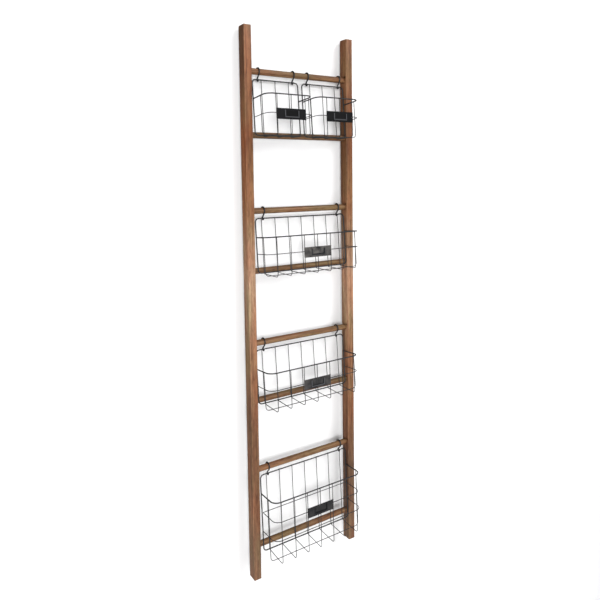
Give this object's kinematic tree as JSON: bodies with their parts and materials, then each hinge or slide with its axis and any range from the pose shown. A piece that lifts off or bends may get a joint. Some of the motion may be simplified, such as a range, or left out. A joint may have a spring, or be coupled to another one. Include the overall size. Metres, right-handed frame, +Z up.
{
  "type": "ladder shelf",
  "caption": "Wall-hung wooden ladder shelf with round rungs and black wire baskets that hang from the rungs by S-hooks, each with a label holder.",
  "frame": {"origin": "on the wall plane, halfway between the two hanger plates near the top of the ladder", "axes": "+X to the right seen from the front, +Y into the wall, +Z up along the stiles"},
  "size_m": [0.421, 0.124, 1.83],
  "materials": {
    "stile_wood": "brown stained wood, satin",
    "rung_wood": "brown stained dowel, satin",
    "basket_wire": "near-black powder coat on steel wire",
    "hook_steel": "near-black powder coat on bent steel rod",
    "label_steel": "charcoal powder coat on sheet steel",
    "hanger_steel": "zinc-plated sheet steel",
    "screw_steel": "zinc-plated screw"
  },
  "bodies": {
    "ladder": {"left_stile": "stile_wood", "right_stile": "stile_wood", "upper_rung_1": "rung_wood", "lower_rung_1": "rung_wood", "upper_rung_2": "rung_wood", "lower_rung_2": "rung_wood", "upper_rung_3": "rung_wood", "lower_rung_3": "rung_wood", "upper_rung_4": "rung_wood", "lower_rung_4": "rung_wood", "left_hanger_plate": "hanger_steel", "left_upper_hanger_screw": "screw_steel", "left_lower_hanger_screw": "screw_steel", "right_hanger_plate": "hanger_steel", "right_upper_hanger_screw": "screw_steel", "right_lower_hanger_screw": "screw_steel"},
    "basket_1_left_hooks": {"basket_1_left_left_hook": "hook_steel", "basket_1_left_right_hook": "hook_steel"},
    "basket_1_left": {"basket_1_left_back_frame": "basket_wire", "basket_1_left_rim": "basket_wire", "basket_1_left_ribs": "basket_wire", "basket_1_left_band": "basket_wire", "basket_1_left_label_holder": "label_steel"},
    "basket_1_right_hooks": {"basket_1_right_left_hook": "hook_steel", "basket_1_right_right_hook": "hook_steel"},
    "basket_1_right": {"basket_1_right_back_frame": "basket_wire", "basket_1_right_rim": "basket_wire", "basket_1_right_ribs": "basket_wire", "basket_1_right_band": "basket_wire", "basket_1_right_label_holder": "label_steel"},
    "basket_2_hooks": {"basket_2_left_hook": "hook_steel", "basket_2_right_hook": "hook_steel"},
    "basket_2": {"basket_2_back_frame": "basket_wire", "basket_2_rim": "basket_wire", "basket_2_ribs": "basket_wire", "basket_2_band": "basket_wire", "basket_2_label_holder": "label_steel"},
    "basket_3_hooks": {"basket_3_left_hook": "hook_steel", "basket_3_right_hook": "hook_steel"},
    "basket_3": {"basket_3_back_frame": "basket_wire", "basket_3_rim": "basket_wire", "basket_3_ribs": "basket_wire", "basket_3_band": "basket_wire", "basket_3_label_holder": "label_steel"},
    "basket_4_hooks": {"basket_4_left_hook": "hook_steel", "basket_4_right_hook": "hook_steel"},
    "basket_4": {"basket_4_back_frame": "basket_wire", "basket_4_rim": "basket_wire", "basket_4_ribs": "basket_wire", "basket_4_band": "basket_wire", "basket_4_label_holder": "label_steel", "basket_4_upper_ring": "basket_wire"}
  },
  "joints": [
    {"name": "basket_1_left_hook_swing", "type": "hinge", "parent": "ladder", "child": "basket_1_left_hooks", "pos_m": [-0.09, -0.018, -0.07], "axis": [-1, 0, 0], "range_deg": [0, 35]},
    {"name": "basket_1_left_tip", "type": "hinge", "parent": "basket_1_left_hooks", "child": "basket_1_left", "pos_m": [-0.09, -0.018, -0.095], "axis": [-1, 0, 0], "range_deg": [0, 30]},
    {"name": "basket_1_right_hook_swing", "type": "hinge", "parent": "ladder", "child": "basket_1_right_hooks", "pos_m": [0.096, -0.018, -0.07], "axis": [-1, 0, 0], "range_deg": [0, 35]},
    {"name": "basket_1_right_tip", "type": "hinge", "parent": "basket_1_right_hooks", "child": "basket_1_right", "pos_m": [0.096, -0.018, -0.095], "axis": [-1, 0, 0], "range_deg": [0, 30]},
    {"name": "basket_2_hook_swing", "type": "hinge", "parent": "ladder", "child": "basket_2_hooks", "pos_m": [0.0035, -0.018, -0.516], "axis": [-1, 0, 0], "range_deg": [0, 35]},
    {"name": "basket_2_tip", "type": "hinge", "parent": "basket_2_hooks", "child": "basket_2", "pos_m": [0.0035, -0.018, -0.541], "axis": [-1, 0, 0], "range_deg": [0, 30]},
    {"name": "basket_3_hook_swing", "type": "hinge", "parent": "ladder", "child": "basket_3_hooks", "pos_m": [-0.0035, -0.018, -0.953], "axis": [-1, 0, 0], "range_deg": [0, 35]},
    {"name": "basket_3_tip", "type": "hinge", "parent": "basket_3_hooks", "child": "basket_3", "pos_m": [-0.0035, -0.018, -0.978], "axis": [-1, 0, 0], "range_deg": [0, 30]},
    {"name": "basket_4_hook_swing", "type": "hinge", "parent": "ladder", "child": "basket_4_hooks", "pos_m": [0.0045, -0.018, -1.385], "axis": [-1, 0, 0], "range_deg": [0, 35]},
    {"name": "basket_4_tip", "type": "hinge", "parent": "basket_4_hooks", "child": "basket_4", "pos_m": [0.0045, -0.018, -1.41], "axis": [-1, 0, 0], "range_deg": [0, 30]}
  ]
}
